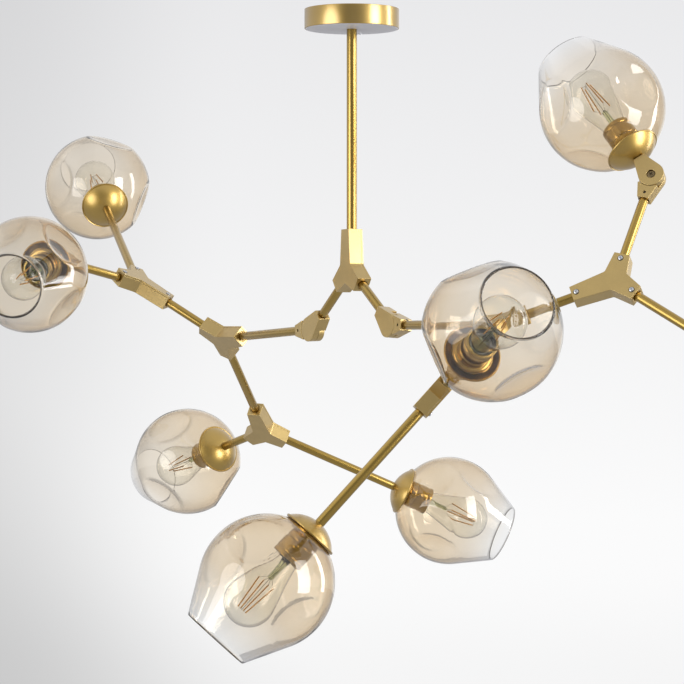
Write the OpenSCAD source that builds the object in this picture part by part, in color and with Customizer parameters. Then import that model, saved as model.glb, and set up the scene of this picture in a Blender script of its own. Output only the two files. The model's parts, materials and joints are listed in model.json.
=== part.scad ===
// Branching ceiling chandelier: eight blown glass shades on a skeleton of
// three-armed hubs and straight tubes, with five half-lap friction knuckles.
// Millimetres. Origin: middle of the canopy's top, at the ceiling. Z is up,
// and the photograph looks along +Y.

/* [Canopy] */
// Canopy diameter
canopy_d = 120; // [90:1:200]
// Canopy height
canopy_h = 25; // [18:0.5:60]
// Canopy wall
canopy_wall = 1.5; // [1:0.1:3]
// Thickness of the pale plate under the canopy
plate_t = 2; // [1.5:0.1:5]
// How far the plate stands below the canopy's edge
plate_proud = 0.5; // [0:0.1:2]
// Width of the canopy's inner ledge that the plate sits against
ledge_w = 4; // [2:0.5:10]
// Width of the ceiling bracket
bracket_w = 22; // [16:1:40]
// Sheet thickness of the ceiling bracket
bracket_t = 2.5; // [1.5:0.1:4]
// Height of the bracket's end tabs
bracket_tab_h = 13; // [8:0.5:20]
// Thickness of those tabs at their middle
bracket_tab_t = 3.5; // [2:0.1:6]
// Distance between the two ceiling screws
screw_span = 80; // [50:1:90]
// Diameter of the ceiling screw holes
screw_hole_d = 5; // [3:0.1:8]
// Outer diameter of the bracket's rod socket
boss_d = 22; // [18:0.5:40]
// Length of the bracket's rod socket
boss_h = 12; // [8:0.5:14]
// Gap between the bracket's plate and the top of the drop rod
rod_top_gap = 2; // [1:0.1:4]

/* [Tubes] */
// Diameter of the drop rod
drop_d = 13; // [10:0.5:18]
// Height from the ceiling down to the middle of the first hub
hub_drop = 331; // [200:1:1200]
// Diameter of the branch tubes
rod_d = 11.5; // [8:0.5:14]
// Tube wall
tube_wall = 1.5; // [1:0.1:2.5]
// How deep a tube goes into a hub or knuckle
rod_in = 11; // [8:0.5:14]
// Visible tube between the first hub and each main knuckle
rod_link = 60; // [20:1:200]
// Visible tube between a main knuckle and its first branch hub
rod_main = 155; // [60:1:300]
// Visible tube to the inner branch hub
rod_near = 58; // [30:1:200]
// Visible tube to the outer branch hub
rod_far = 135; // [60:1:300]
// Visible tube from the upper hubs to the knuckles of lamps 2 and 7
rod_turn = 78; // [30:1:200]
// Visible tube to lamps 1 and 8
rod_long = 237; // [100:1:400]
// Visible tube to lamps 4 and 5
rod_mid = 167; // [80:1:300]
// Visible tube to lamp 3
rod_short = 58; // [30:1:200]
// Visible tube to the knuckle of lamp 6
rod_stub = 4; // [2:0.5:100]

/* [Hubs] */
// Length of the hub's long arm from its middle
arm_long = 52; // [40:1:80]
// Length of the hub's short arms from its middle
arm_short = 33.5; // [30:0.5:60]
// Width of an arm at its end
arm_w = 19; // [17:0.5:30]
// Angle of each short arm from the travel direction
arm_angle = 55; // [45:1:75]
// Distance of the side corners from the hub's middle
corner_r = 15; // [13:0.5:24]
// Radius of the side corners
fillet_r = 5; // [2:0.5:12]
// Distance of the notch between the short arms from the hub's middle
notch_r = 16.5; // [13:0.5:22]
// Radius at the bottom of that notch
notch_fillet_r = 1; // [0.5:0.1:6]
// Thickness of the whole hub with its cover
hub_t = 20; // [16:0.5:30]
// Thickness of the hub's walls
hub_wall = 2.5; // [2:0.1:4]
// Thickness of the hub's cover
cover_t = 2.5; // [2:0.1:4]
// Cover screw hole
cover_hole_d = 4.5; // [3:0.1:6]
// Pilot hole under a cover screw
pilot_d = 2.6; // [2:0.1:3]
// Distance of a cover screw from the end of its arm
cover_hole_in = 6; // [4:0.1:8]

/* [Knuckles] */
// Rod end to pivot of a knuckle
knuckle_len = 32; // [26:0.5:60]
// Pivot to gallery of a lamp's knuckle
lamp_knuckle_len = 29; // [26:0.5:60]
// Thickness of a knuckle
knuckle_t = 17; // [14.5:0.5:28]
// Width of a knuckle at its rod end
knuckle_w = 14; // [13:0.5:28]
// Radius of a knuckle's eye
eye_r = 15.5; // [12:0.5:25]
// Diameter of the pivot screw's shank
pivot_d = 6; // [4:0.5:10]
// Diameter of the pivot screw's head
pivot_head_d = 10; // [8:0.5:14]
// Height of the pivot screw's head
pivot_head_h = 3; // [2:0.1:5]
// Gap between the faces of the two halves
lap_gap = 0.3; // [0.2:0.05:1]
// Gap round a turning eye
turn_gap = 0.6; // [0.3:0.05:2]
// Radial running clearance of the pivot
run_gap = 0.06; // [0.02:0.01:0.1]

/* [Lamp heads] */
// Diameter of the gallery
gallery_d = 67; // [55:0.5:90]
// Height of the gallery from its pole to its rim
gallery_h = 18; // [10:0.5:30]
// Wall of the gallery
gallery_wall = 1.5; // [1:0.1:3]
// Radius of the gallery's rolled edge
bead_r = 1.5; // [1:0.1:3]
// Diameter of the lampholder's cup
holder_d = 37; // [36:0.5:60]
// Gallery's pole to the mouth of the lampholder
holder_len = 55; // [45:0.5:90]
// Diameter of the shade ring
ring_d = 48; // [43:0.5:70]
// Height of the shade ring
ring_h = 5; // [3:0.5:12]
// Wall of the lampholder's cup
holder_wall = 3; // [2:0.1:4]
// Thickness of the flange that the shade hangs from
flange_t = 3; // [2:0.1:5]
// Width of the nut that closes on the gallery
nut_w = 4; // [3:0.1:7]
// How far a lamp's tube goes into the lampholder
stem_in = 9; // [7:0.5:12]
// Depth of the bulb's cap below the lampholder's mouth
cap_depth = 7; // [5:0.5:10]
// Broken edge of the lampholder and its ring
holder_break = 1; // [0.5:0.1:2]
// Diameter of the bulb's screw cap
cap_d = 26.6; // [24:0.1:28]
// Length of the bulb's screw cap
cap_len = 26; // [20:0.5:30]
// Diameter of the bulb's globe
bulb_d = 58; // [45:0.5:95]
// Gallery's pole to the middle of the bulb's globe
bulb_x = 116; // [95:0.5:140]
// Wall of the bulb's glass
bulb_wall = 1; // [0.8:0.1:2]

/* [Shades] */
// Largest diameter of a shade
shade_d = 152; // [120:1:220]
// How far the top of the shade stands inside the gallery's rim
shade_inset = 3; // [1:0.1:6]
// How far the mouth stands past the shade's round part
mouth_past = 8; // [4:0.5:20]
// Outer diameter of the mouth
mouth_d = 82; // [60:1:140]
// Thickness of the shade's glass
glass_t = 2; // [1.5:0.1:4]
// Diameter of the hole that the lampholder passes through
shade_hole_d = 35; // [32:0.5:50]
// Width of the flat lip around that hole
lip_w = 3.6; // [2:0.1:6]
// Radius of the tool that presses a dent
dent_tool_r = 110; // [70:1:200]
// How deep a dent is pressed
dent_depth = 12; // [4:0.5:18]
// Height of the four dents along the shade, in degrees from its middle
dent_rise = [-22, 10, -22, 10];
// Turn of each shade about its lampholder
shade_turn = [80, 70, 103, 127, 152, 20, 42, 35];

/* [Pose] */
// Turn of the whole skeleton about the drop rod
turn_top = 61; // [-180:0.5:180]
// Roll of the main knuckles in their tubes
roll_main = -3.5; // [-30:0.5:30]
// Bend of the left main knuckle
bend_left = -33.5; // [-60:0.5:60]
// Bend of the right main knuckle
bend_right = 34; // [-60:0.5:60]
// Roll of the left hubs: first, upper, outer
roll_left = [-45, 141.5, -20];
// Roll of the right hubs: first, upper, outer
roll_right = [-62, 47.5, 30];
// Bend of the knuckle of lamp 2
bend_2 = 43; // [-80:0.5:80]
// Roll of the knuckle of lamp 6
roll_6 = 43.5; // [-180:0.5:180]
// Bend of the knuckle of lamp 6
bend_6 = 0; // [-80:0.5:80]
// Bend of the knuckle of lamp 7
bend_7 = 49; // [-80:0.5:80]

/* [Fits] */
// Radial clearance of tubes and plugs in their holes
fit = 0.1; // [0.05:0.01:0.3]
// Gap between pieces that are clamped or screwed up
seat = 0.15; // [0.05:0.01:0.3]

/* [Hidden] */
$fn = 64;
eps = 1;
join = 0.1;
bore_skin = 1;
corner_steps = 6;
pivot_end = 1.2;
step_x = 0.85 * eye_r;
head_sunk = 0.5;
brass = [0.72, 0.60, 0.36];
pale = [0.85, 0.85, 0.87];
steel = [0.62, 0.62, 0.64];
tint = [0.86, 0.76, 0.62, 0.5];
clear = [0.9, 0.9, 0.88, 0.4];

// Frames: X runs along the tube, Z is the hub's flat side and the hinge's axis
function turn_x(a) = [
    [1, 0, 0, 0], [0, cos(a), -sin(a), 0], [0, sin(a), cos(a), 0], [0, 0, 0, 1]];
function turn_z(a) = [
    [cos(a), -sin(a), 0, 0], [sin(a), cos(a), 0, 0], [0, 0, 1, 0], [0, 0, 0, 1]];
function along(d) = [[1, 0, 0, d], [0, 1, 0, 0], [0, 0, 1, 0], [0, 0, 0, 1]];
function arm_end(m, side) = m * turn_z(side * arm_angle) * along(arm_short);
function next_hub(m, len, roll) = m * along(len + arm_long) * turn_x(roll);
function next_joint(m, len, roll) = m * along(len + knuckle_len) * turn_x(roll);
function past_joint(m, bend, len) = m * turn_z(bend) * along(len);

h0 = [[0, cos(turn_top), -sin(turn_top), 0],
      [0, -sin(turn_top), -cos(turn_top), 0],
      [-1, 0, 0, -hub_drop],
      [0, 0, 0, 1]];
a0l = arm_end(h0, -1);
a0r = arm_end(h0, 1);
jl = next_joint(a0l, rod_link, roll_main);
jr = next_joint(a0r, rod_link, roll_main);
b1 = past_joint(jl, bend_left, knuckle_len);
b4 = past_joint(jr, bend_right, knuckle_len);
h1 = next_hub(b1, rod_main, roll_left[0]);
h4 = next_hub(b4, rod_main, roll_right[0]);
a1i = arm_end(h1, -1);
a1o = arm_end(h1, 1);
a4i = arm_end(h4, 1);
a4o = arm_end(h4, -1);
h2 = next_hub(a1i, rod_near, roll_left[1]);
h3 = next_hub(a1o, rod_far, roll_left[2]);
h5 = next_hub(a4i, rod_near, roll_right[1]);
h6 = next_hub(a4o, rod_far, roll_right[2]);
a2l = arm_end(h2, -1);
a2j = arm_end(h2, 1);
a3s = arm_end(h3, -1);
a3m = arm_end(h3, 1);
a5j = arm_end(h5, 1);
a5l = arm_end(h5, -1);
a6m = arm_end(h6, -1);
a6j = arm_end(h6, 1);
j2 = next_joint(a2j, rod_turn, 0);
j6 = next_joint(a6j, rod_stub, roll_6);
j7 = next_joint(a5j, rod_turn, 0);

// Lamp frames, at the pole of each gallery with X towards the mouth
lamp_at = [
    a2l * along(rod_long),
    past_joint(j2, bend_2, lamp_knuckle_len),
    a3s * along(rod_short),
    a6m * along(rod_mid),
    a3m * along(rod_mid),
    past_joint(j6, bend_6, lamp_knuckle_len),
    past_joint(j7, bend_7, lamp_knuckle_len),
    a5l * along(rod_long)];

// Canopy
plate_z = -canopy_h - plate_proud;
plate_r = canopy_d / 2 - canopy_wall - seat;
rod_top_z = -bracket_t - rod_top_gap;
drop_len = hub_drop - arm_long + rod_in + rod_top_z;

// Lamp heads, along X from the gallery's pole
dome_r = (pow(gallery_d / 2, 2) + gallery_h * gallery_h) / (2 * gallery_h);
shade_r = shade_d / 2;
mouth_r = mouth_d / 2;
mouth_reach = shade_r + mouth_past;
hole_r = shade_hole_d / 2;
shade_top = sqrt(shade_r * shade_r - pow(hole_r + lip_w, 2));
flange_x = gallery_h - shade_inset;
shade_c = flange_x + shade_top;
inner_r = shade_r - glass_t;
ring_x = shade_c - sqrt(inner_r * inner_r - pow(ring_d / 2, 2)) + seat;
cup_x = ring_x + ring_h + seat;
neck_r = hole_r - seat;
cap_x = holder_len - cap_len - cap_depth;
nut_r = rod_d / 2 + nut_w;
nut_x = dome_r - sqrt(pow(dome_r - gallery_wall, 2) - nut_r * nut_r) + seat;
bore_r = rod_d / 2 + fit;
socket_r = holder_d / 2 - holder_wall;

// The point where a line from [x, r] touches a circle about the origin
function touch_angle(x, r, circle_r) =
    atan2(r, x) + (x > 0 ? 1 : -1) * acos(circle_r / norm([x, r]));

// Corners of the hub's outline, anticlockwise; back moves every side inwards
function arm_tip(a, len, back) =
    let (w = arm_w / 2 - back, c = [cos(a), sin(a)], n = [-sin(a), cos(a)])
    [(len - back) * c - w * n, (len - back) * c + w * n];
function near(t, about) = t - 360 * round((t - about) / 360);
function tangent_t(p, c, f, s, about) =
    near(atan2(p[1] - c[1], p[0] - c[0]) + s * acos(f / norm(p - c)), about);
function inner_corner(a, reach, r, before, after, back) =
    let (c = (reach + r) * [cos(a), sin(a)],
         f = r + back,
         from = tangent_t(before, c, f, -1, a + 180),
         to = tangent_t(after, c, f, 1, a + 180))
    [for (k = [0 : corner_steps])
        let (t = from + (to - from) * k / corner_steps) c + f * [cos(t), sin(t)]];
function outline(back, short) =
    let (r = arm_tip(-arm_angle, arm_short - short, back),
         l = arm_tip(arm_angle, arm_short - short, back),
         m = arm_tip(180, arm_long - short, back),
         side = 90 + arm_angle / 2)
    concat(l, inner_corner(side, corner_r, fillet_r, l[1], m[0], back),
           m, inner_corner(-side, corner_r, fillet_r, m[1], r[0], back),
           r, inner_corner(0, notch_r, notch_fillet_r, r[1], l[0], back));

module disc_x(r, h) {
    rotate([0, 90, 0]) cylinder(r = r, h = h);
}

module tube_x(d, from, to) {
    translate([from, 0, 0]) difference() {
        disc_x(d / 2, to - from);
        translate([-eps, 0, 0]) disc_x(d / 2 - tube_wall, to - from + 2 * eps);
    }
}

// A branch tube from the frame m, len long in view, going into both ends
module rod(m, len, into = rod_in) {
    color(brass) multmatrix(m) tube_x(rod_d, -rod_in, len + into);
}

module canopy() {
    r = canopy_d / 2;
    color(brass) difference() {
        translate([0, 0, -canopy_h]) cylinder(r = r, h = canopy_h, $fn = 96);
        translate([0, 0, plate_z + plate_t + canopy_wall])
            cylinder(r = r - canopy_wall, h = canopy_h + eps, $fn = 96);
        translate([0, 0, plate_z - eps]) cylinder(r = r - canopy_wall - ledge_w, h = canopy_h);
        translate([0, 0, plate_z - eps]) cylinder(r = r - canopy_wall, h = plate_t + eps);
    }
}

module canopy_plate() {
    color(pale) translate([0, 0, plate_z]) difference() {
        cylinder(r = plate_r, h = plate_t);
        translate([0, 0, -eps]) cylinder(r = drop_d / 2 + fit, h = plate_t + 2 * eps);
    }
}

module ceiling_bracket() {
    r = canopy_d / 2 - canopy_wall - seat;
    color(steel) difference() {
        union() {
            intersection() {
                translate([0, 0, -bracket_tab_h]) cylinder(r = r, h = bracket_tab_h);
                difference() {
                    translate([-r, -bracket_w / 2, -bracket_tab_h])
                        cube([2 * r, bracket_w, bracket_tab_h]);
                    translate([-r + bracket_tab_t, -bracket_w, -bracket_tab_h - eps])
                        cube([2 * (r - bracket_tab_t), 2 * bracket_w,
                              bracket_tab_h - bracket_t + eps]);
                }
            }
            translate([0, 0, -bracket_t - boss_h]) cylinder(d = boss_d, h = boss_h);
        }
        for (s = [-1, 1])
            translate([s * screw_span / 2, 0, -bracket_t - eps])
                cylinder(d = screw_hole_d, h = bracket_t + 2 * eps);
        translate([0, 0, -bracket_t - boss_h - eps])
            cylinder(r = drop_d / 2 + fit, h = boss_h + bracket_t + rod_top_z + eps);
    }
}

module drop_rod() {
    color(brass) translate([0, 0, rod_top_z]) rotate([0, 90, 0]) tube_x(drop_d, 0, drop_len);
}

// Hub body and its cover; side is the flat side that the cover closes
module hub(m, side, entry = rod_d) {
    floor_z = -hub_t / 2;
    color(brass) multmatrix(m) rotate([side > 0 ? 0 : 180, 0, 0]) difference() {
        translate([0, 0, floor_z]) linear_extrude(hub_t - cover_t) polygon(outline(0, 0));
        translate([0, 0, floor_z + hub_wall]) linear_extrude(hub_t)
            polygon(outline(hub_wall, rod_in));
        translate([-arm_long - eps, 0, 0]) disc_x(entry / 2 + fit, rod_in + hub_wall + 2 * eps);
        for (a = [-arm_angle, arm_angle]) rotate([0, 0, a])
            translate([arm_short - rod_in - hub_wall - eps, 0, 0])
                disc_x(rod_d / 2 + fit, rod_in + hub_wall + 2 * eps);
        cover_holes(pilot_d);
    }
}

module hub_cover(m, side) {
    color(brass) multmatrix(m) rotate([side > 0 ? 0 : 180, 0, 0]) difference() {
        translate([0, 0, hub_t / 2 - cover_t]) linear_extrude(cover_t) polygon(outline(0, 0));
        cover_holes(cover_hole_d);
    }
}

module cover_holes(d) {
    top = hub_t / 2 + eps;
    low = rod_d / 2 + fit + bore_skin;
    for (p = [[180, arm_long], [arm_angle, arm_short], [-arm_angle, arm_short]])
        rotate([0, 0, p[0]]) translate([p[1] - cover_hole_in, 0, low])
            cylinder(d = d, h = top - low);
}

// One half of a half-lap knuckle: shank towards -X, eye on the Z side given.
// Only the eye's own half is drawn out to the eye's full width, so it can swing.
module knuckle_half(len, side) {
    half_t = (knuckle_t - lap_gap) / 2;
    eye_z = side > 0 ? lap_gap / 2 : -knuckle_t / 2;
    other_z = side > 0 ? -knuckle_t / 2 - eps : -lap_gap / 2;
    a = touch_angle(-len, knuckle_w / 2, eye_r);
    tip = eye_r * [cos(a), sin(a)];
    end = [-len, knuckle_w / 2];
    step_y = end[1] + (tip[1] - end[1]) * (len - step_x) / (len + tip[0]);
    difference() {
        union() {
            translate([0, 0, eye_z]) cylinder(r = eye_r, h = half_t);
            translate([0, 0, eye_z]) linear_extrude(half_t)
                polygon([end, [end[0], -end[1]], [tip[0], -tip[1]], tip]);
            translate([0, 0, -knuckle_t / 2]) linear_extrude(knuckle_t)
                polygon([end, [end[0], -end[1]], [-step_x, -step_y], [-step_x, step_y]]);
        }
        translate([0, 0, other_z])
            cylinder(r = eye_r + turn_gap, h = half_t + lap_gap + eps);
    }
}

// The pivot screw, its head sunk in the side given; grow gives its hole
module pivot(side, grow = 0) {
    top = knuckle_t / 2;
    rotate([side > 0 ? 0 : 180, 0, 0]) {
        translate([0, 0, pivot_end - top - grow])
            cylinder(r = pivot_d / 2 + grow, h = knuckle_t - pivot_end - pivot_head_h + grow + join);
        translate([0, 0, top - pivot_head_h - grow])
            cylinder(r = pivot_head_d / 2 + grow,
                     h = pivot_head_h - head_sunk + (grow > 0 ? eps + head_sunk : 0));
    }
}

// Knuckle half on the incoming tube; the half on the screw's side carries the screw
module knuckle_in(m, side, head = 1) {
    color(brass) multmatrix(m) {
        difference() {
            knuckle_half(knuckle_len, side);
            pivot(head, run_gap);
            translate([-knuckle_len - eps, 0, 0]) disc_x(rod_d / 2 + fit, rod_in + eps);
        }
        if (side == head) pivot(head);
    }
}

// Knuckle half that swings, with a tube socket
module knuckle_out(m, bend, side, head = 1) {
    color(brass) multmatrix(m * turn_z(bend)) {
        difference() {
            rotate([0, 0, 180]) knuckle_half(knuckle_len, side);
            pivot(head, run_gap);
            translate([knuckle_len - rod_in, 0, 0]) disc_x(rod_d / 2 + fit, rod_in + eps);
        }
        if (side == head) pivot(head);
    }
}

// Knuckle half that swings with a lamp, with the plug for its lampholder
module knuckle_lamp(m, bend, side, head = 1) {
    color(brass) multmatrix(m * turn_z(bend)) {
        difference() {
            union() {
                rotate([0, 0, 180]) knuckle_half(lamp_knuckle_len, side);
                translate([lamp_knuckle_len - eps, 0, 0]) disc_x(rod_d / 2, stem_in + eps);
            }
            pivot(head, run_gap);
        }
        if (side == head) pivot(head);
    }
}

// Lamp head pieces
module on_lamp(i) {
    multmatrix(lamp_at[i - 1]) rotate([0, 90, 0]) children();
}

module gallery(i) {
    color(brass) on_lamp(i) difference() {
        union() {
            difference() {
                intersection() {
                    translate([0, 0, dome_r]) sphere(r = dome_r, $fn = 96);
                    cylinder(r = gallery_d, h = gallery_h);
                }
                translate([0, 0, dome_r]) sphere(r = dome_r - gallery_wall, $fn = 96);
            }
            translate([0, 0, gallery_h - bead_r]) rotate_extrude($fn = 96)
                translate([gallery_d / 2 - bead_r, 0]) circle(r = bead_r, $fn = 24);
        }
        translate([0, 0, -eps]) cylinder(r = rod_d / 2 + fit, h = gallery_wall + 3 * eps);
    }
}

module holder(i) {
    color(brass) on_lamp(i) {
        rotate_extrude() polygon([
            [bore_r, nut_x], [nut_r, nut_x],
            [nut_r + 2 * holder_break, flange_x - flange_t - holder_break],
            [hole_r + lip_w, flange_x - flange_t],
            [hole_r + lip_w, flange_x], [neck_r, flange_x],
            [neck_r, cup_x], [holder_d / 2, cup_x + 2 * holder_break],
            [holder_d / 2, holder_len - holder_break],
            [holder_d / 2 - holder_break, holder_len],
            [socket_r, holder_len], [socket_r, cap_x + cap_len - holder_wall],
            [cap_d / 2 + seat, cap_x + cap_len - holder_wall - 2 * holder_break],
            [cap_d / 2 + seat, cap_x - seat],
            [bore_r - tube_wall, cap_x - seat], [bore_r - tube_wall, stem_in + seat],
            [bore_r, stem_in + seat]]);
        rotate_extrude() polygon([
            [neck_r + seat, ring_x], [ring_d / 2, ring_x],
            [ring_d / 2, ring_x + ring_h - holder_break],
            [ring_d / 2 - holder_break, ring_x + ring_h],
            [neck_r + seat, ring_x + ring_h]]);
    }
}

module shade_form(r, end_r, top, extra) {
    a = touch_angle(mouth_reach, end_r, r);
    z = r * cos(a);
    slope = (r * sin(a) - end_r) / (mouth_reach - z);
    intersection() {
        sphere(r = r, $fn = 128);
        translate([0, 0, -top]) cylinder(r = r + eps, h = top + z);
    }
    translate([0, 0, z]) cylinder(r1 = r * sin(a), r2 = end_r - slope * extra,
                                  h = mouth_reach - z + extra, $fn = 128);
}

module dents(i, grow) {
    for (k = [0 : 3])
        rotate([0, 0, shade_turn[i - 1] + 90 * k]) rotate([0, -dent_rise[k], 0])
            translate([shade_r + dent_tool_r - dent_depth, 0, 0])
                sphere(r = dent_tool_r + grow, $fn = 128);
}

module shade(i) {
    color(tint) on_lamp(i) translate([0, 0, shade_c]) difference() {
        shade_form(shade_r, mouth_r, shade_top, 0);
        dents(i, 0);
        difference() {
            shade_form(inner_r, mouth_r - glass_t, inner_r, eps);
            dents(i, glass_t);
        }
        translate([0, 0, -shade_r]) cylinder(r = hole_r, h = shade_r - shade_top + 3 * glass_t);
    }
}

module bulb_form(r, neck, from) {
    a = touch_angle(from - bulb_x, neck, r);
    translate([0, 0, bulb_x]) intersection() {
        sphere(r = r);
        translate([0, 0, r * cos(a)]) cylinder(r = r + eps, h = 2 * r);
    }
    translate([0, 0, from]) cylinder(r1 = neck, r2 = r * sin(a), h = bulb_x - from + r * cos(a));
}

module bulb(i) {
    neck = cap_d / 2;
    neck_x = cap_x + cap_len + seat;
    color(clear) on_lamp(i) {
        difference() {
            bulb_form(bulb_d / 2, neck, neck_x);
            bulb_form(bulb_d / 2 - bulb_wall, neck - bulb_wall, neck_x - join);
        }
        translate([0, 0, cap_x]) cylinder(r = cap_d / 2, h = cap_len);
    }
}

// First hub, its tubes and the fixed knuckle halves
module hub_top() {
    hub(h0, -1, drop_d);
}

module cover_top() {
    hub_cover(h0, -1);
}

module rods_top() {
    rod(a0l, rod_link);
    rod(a0r, rod_link);
}

module knuckle_left_fixed() {
    knuckle_in(jl, 1, -1);
}

module knuckle_right_fixed() {
    knuckle_in(jr, 1, -1);
}

// Left branch: lamps 1, 3 and 5, and the tube to lamp 2
module knuckle_left_swing() {
    knuckle_out(jl, bend_left, -1, -1);
}

module hub_left_a() {
    hub(h1, -1);
}

module hub_left_b() {
    hub(h2, 1);
}

module hub_left_c() {
    hub(h3, -1);
}

module covers_left() {
    hub_cover(h1, -1);
    hub_cover(h2, 1);
    hub_cover(h3, -1);
}

module rods_left() {
    rod(b1, rod_main);
    rod(a1i, rod_near);
    rod(a1o, rod_far);
    rod(a2j, rod_turn);
    rod(a2l, rod_long, stem_in);
    rod(a3s, rod_short, stem_in);
    rod(a3m, rod_mid, stem_in);
}

// Right branch: lamps 4 and 8, and the tubes to lamps 6 and 7
module knuckle_right_swing() {
    knuckle_out(jr, bend_right, -1, -1);
}

module hub_right_a() {
    hub(h4, 1);
}

module hub_right_b() {
    hub(h5, 1);
}

module hub_right_c() {
    hub(h6, -1);
}

module covers_right() {
    hub_cover(h4, 1);
    hub_cover(h5, 1);
    hub_cover(h6, -1);
}

module rods_right() {
    rod(b4, rod_main);
    rod(a4i, rod_near);
    rod(a4o, rod_far);
    rod(a5j, rod_turn);
    rod(a5l, rod_long, stem_in);
    rod(a6j, rod_stub);
    rod(a6m, rod_mid, stem_in);
}

// Knuckles of lamps 2, 6 and 7
module knuckle_2_fixed() {
    knuckle_in(j2, -1);
}

module knuckle_2_swing() {
    knuckle_lamp(j2, bend_2, 1);
}

module knuckle_6_fixed() {
    knuckle_in(j6, -1);
}

module knuckle_6_swing() {
    knuckle_lamp(j6, bend_6, 1);
}

module knuckle_7_fixed() {
    knuckle_in(j7, -1);
}

module knuckle_7_swing() {
    knuckle_lamp(j7, bend_7, 1);
}

// Lamp heads
module gallery_1() { gallery(1); }
module gallery_2() { gallery(2); }
module gallery_3() { gallery(3); }
module gallery_4() { gallery(4); }
module gallery_5() { gallery(5); }
module gallery_6() { gallery(6); }
module gallery_7() { gallery(7); }
module gallery_8() { gallery(8); }
module holder_1() { holder(1); }
module holder_2() { holder(2); }
module holder_3() { holder(3); }
module holder_4() { holder(4); }
module holder_5() { holder(5); }
module holder_6() { holder(6); }
module holder_7() { holder(7); }
module holder_8() { holder(8); }
module shade_1() { shade(1); }
module shade_2() { shade(2); }
module shade_3() { shade(3); }
module shade_4() { shade(4); }
module shade_5() { shade(5); }
module shade_6() { shade(6); }
module shade_7() { shade(7); }
module shade_8() { shade(8); }
module bulb_1() { bulb(1); }
module bulb_2() { bulb(2); }
module bulb_3() { bulb(3); }
module bulb_4() { bulb(4); }
module bulb_5() { bulb(5); }
module bulb_6() { bulb(6); }
module bulb_7() { bulb(7); }
module bulb_8() { bulb(8); }

// Which piece to draw
canopy();
canopy_plate();
ceiling_bracket();
drop_rod();
hub_top();
cover_top();
rods_top();
knuckle_left_fixed();
knuckle_right_fixed();
knuckle_left_swing();
hub_left_a();
hub_left_b();
hub_left_c();
covers_left();
rods_left();
knuckle_right_swing();
hub_right_a();
hub_right_b();
hub_right_c();
covers_right();
rods_right();
knuckle_2_fixed();
knuckle_2_swing();
knuckle_6_fixed();
knuckle_6_swing();
knuckle_7_fixed();
knuckle_7_swing();
gallery_1();
gallery_2();
gallery_3();
gallery_4();
gallery_5();
gallery_6();
gallery_7();
gallery_8();
holder_1();
holder_2();
holder_3();
holder_4();
holder_5();
holder_6();
holder_7();
holder_8();
shade_1();
shade_2();
shade_3();
shade_4();
shade_5();
shade_6();
shade_7();
shade_8();
bulb_1();
bulb_2();
bulb_3();
bulb_4();
bulb_5();
bulb_6();
bulb_7();
bulb_8();
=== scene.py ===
import json
import math
from types import SimpleNamespace

import bmesh
import bpy
from mathutils import Matrix, Vector


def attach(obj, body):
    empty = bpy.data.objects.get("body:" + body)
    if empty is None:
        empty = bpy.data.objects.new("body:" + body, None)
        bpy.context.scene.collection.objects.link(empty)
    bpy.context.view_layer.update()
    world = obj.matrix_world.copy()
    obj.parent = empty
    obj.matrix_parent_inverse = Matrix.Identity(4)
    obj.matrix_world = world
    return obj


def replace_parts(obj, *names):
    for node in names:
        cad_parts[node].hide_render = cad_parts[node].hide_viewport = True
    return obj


bl_info = {
    "name": "Branching Glass Chandelier",
    "version": (1, 0, 0),
    "blender": (4, 5, 0),
    "location": "View3D > Sidebar > Chandelier",
    "description": "Dresses the chandelier's solids with brass, blown glass and bulbs",
    "category": "Object",
}

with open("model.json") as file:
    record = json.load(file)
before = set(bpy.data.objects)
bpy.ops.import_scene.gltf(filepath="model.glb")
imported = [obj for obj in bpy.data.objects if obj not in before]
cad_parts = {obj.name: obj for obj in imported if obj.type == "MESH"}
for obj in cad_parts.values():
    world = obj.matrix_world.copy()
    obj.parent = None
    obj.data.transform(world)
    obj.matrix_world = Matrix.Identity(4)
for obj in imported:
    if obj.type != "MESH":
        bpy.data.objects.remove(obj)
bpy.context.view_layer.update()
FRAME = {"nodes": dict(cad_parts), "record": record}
NODES = FRAME["nodes"]
BODIES = FRAME["record"]["behaviour"]["bodies"]
BODY_OF = {node: body for body, nodes in BODIES.items() for node in nodes}

MM = 0.001


# --- Sizes of the part's own source, in millimetres ----------------------------

HUB_DROP, TURN_TOP, ROLL_MAIN, ROLL_6 = 331, 61, -3.5, 43.5
BEND_LEFT, BEND_RIGHT, BEND_2, BEND_6, BEND_7 = -33.5, 34, 43, 0, 49
ROLL_LEFT, ROLL_RIGHT = (-45, 141.5, -20), (-62, 47.5, 30)
ROD_LINK, ROD_MAIN, ROD_NEAR, ROD_FAR, ROD_TURN = 60, 155, 58, 135, 78
ROD_LONG, ROD_MID, ROD_SHORT, ROD_STUB = 237, 167, 58, 4
ARM_LONG, ARM_SHORT, ARM_ANGLE, ARM_W = 52, 33.5, 55, 19
ARMS = ((180, ARM_LONG), (ARM_ANGLE, ARM_SHORT), (-ARM_ANGLE, ARM_SHORT))
CORNER_R, FILLET_R, NOTCH_R, NOTCH_FILLET_R = 15, 5, 16.5, 1
HUB_T, COVER_T, COVER_HOLE_IN = 20, 2.5, 6
DROP_D, ROD_D, TUBE_WALL, ROD_IN, STEM_IN, ROD_TOP = 13, 11.5, 1.5, 11, 9, 4.5
KNUCKLE_LEN, LAMP_KNUCKLE_LEN, KNUCKLE_T, KNUCKLE_W = 32, 29, 17, 14
EYE_R, STEP_X, LAP_GAP, TURN_GAP = 15.5, 0.85 * 15.5, 0.3, 0.6
PIVOT_HEAD_R, PIVOT_HEAD_H, HEAD_SUNK = 5, 3, 0.5
CANOPY_R, CANOPY_H, CANOPY_WALL, PLATE_T, PLATE_PROUD, LEDGE_W = 60, 25, 1.5, 2, 0.5, 4
GALLERY_D, GALLERY_H, GALLERY_WALL, BEAD_R, DOME_R = 67, 18, 1.5, 1.5, 40.17
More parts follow.
